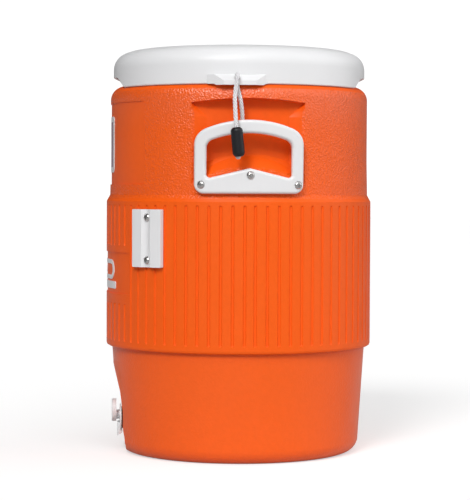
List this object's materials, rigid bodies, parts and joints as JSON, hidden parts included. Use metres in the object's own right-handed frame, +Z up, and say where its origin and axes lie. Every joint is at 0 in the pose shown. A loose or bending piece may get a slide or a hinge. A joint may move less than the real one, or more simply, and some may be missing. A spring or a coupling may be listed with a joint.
{
  "type": "insulated beverage jug",
  "caption": "Round insulated drinks jug with a ribbed band, domed press-fit lid, two side handles, a cup bracket, a lid tether and a push-button spigot.",
  "frame": {"origin": "centre of the flat ring that the jug stands on", "axes": "+Z up the jug's axis; the spigot faces -Y; the handles stand at +X and -X"},
  "size_m": [0.3472, 0.3156, 0.4758],
  "materials": {
    "shell_orange": "moulded polyethylene, fine pebble texture",
    "white_plastic": "moulded polyethylene, satin",
    "liner_plastic": "food-grade polyethylene",
    "foam": "rigid polyurethane foam",
    "screw_steel": "bright zinc plate",
    "stainless": "stainless wire and rod",
    "seal_rubber": "soft black rubber",
    "valve_silicone": "silicone",
    "tether_cord": "braided polyester cord",
    "clamp_black": "moulded nylon",
    "label_print": "printed film"
  },
  "bodies": {
    "jug": {"outer_shell": "shell_orange", "inner_liner": "liner_plastic", "body_foam": "foam", "base_fill_plug": "shell_orange", "handle_right": "white_plastic", "handle_left": "white_plastic", "handle_screws_right": "screw_steel", "handle_screws_left": "screw_steel", "cup_bracket": "white_plastic", "bracket_screws": "screw_steel", "spigot_body": "white_plastic", "spigot_outer_gasket": "seal_rubber", "spigot_inner_gasket": "seal_rubber", "spigot_nut": "white_plastic", "spigot_stem_oring": "seal_rubber", "spigot_spring": "stainless", "front_label": "label_print", "band_emblem": "label_print", "lid_tether_cord": "tether_cord", "tether_clamp_outer": "clamp_black", "tether_clamp_inner": "clamp_black"},
    "lid": {"lid_cover": "white_plastic", "lid_liner": "white_plastic", "lid_foam": "foam", "lid_seal": "seal_rubber"},
    "button": {"spigot_button": "white_plastic", "spigot_stem": "stainless", "spigot_valve_seal": "valve_silicone", "spigot_stem_nut": "stainless"}
  },
  "joints": [
    {"name": "lid_lift", "type": "slide", "parent": "jug", "child": "lid", "axis": [0, 0, 1], "range_m": [0, 0.03], "deforming": ["lid_tether_cord"]},
    {"name": "button_push", "type": "slide", "parent": "jug", "child": "button", "axis": [0, 1, 0], "range_m": [0, 0.004], "stiffness_N_per_m": 400, "springref_m": -0.004, "deforming": ["spigot_spring"]}
  ]
}
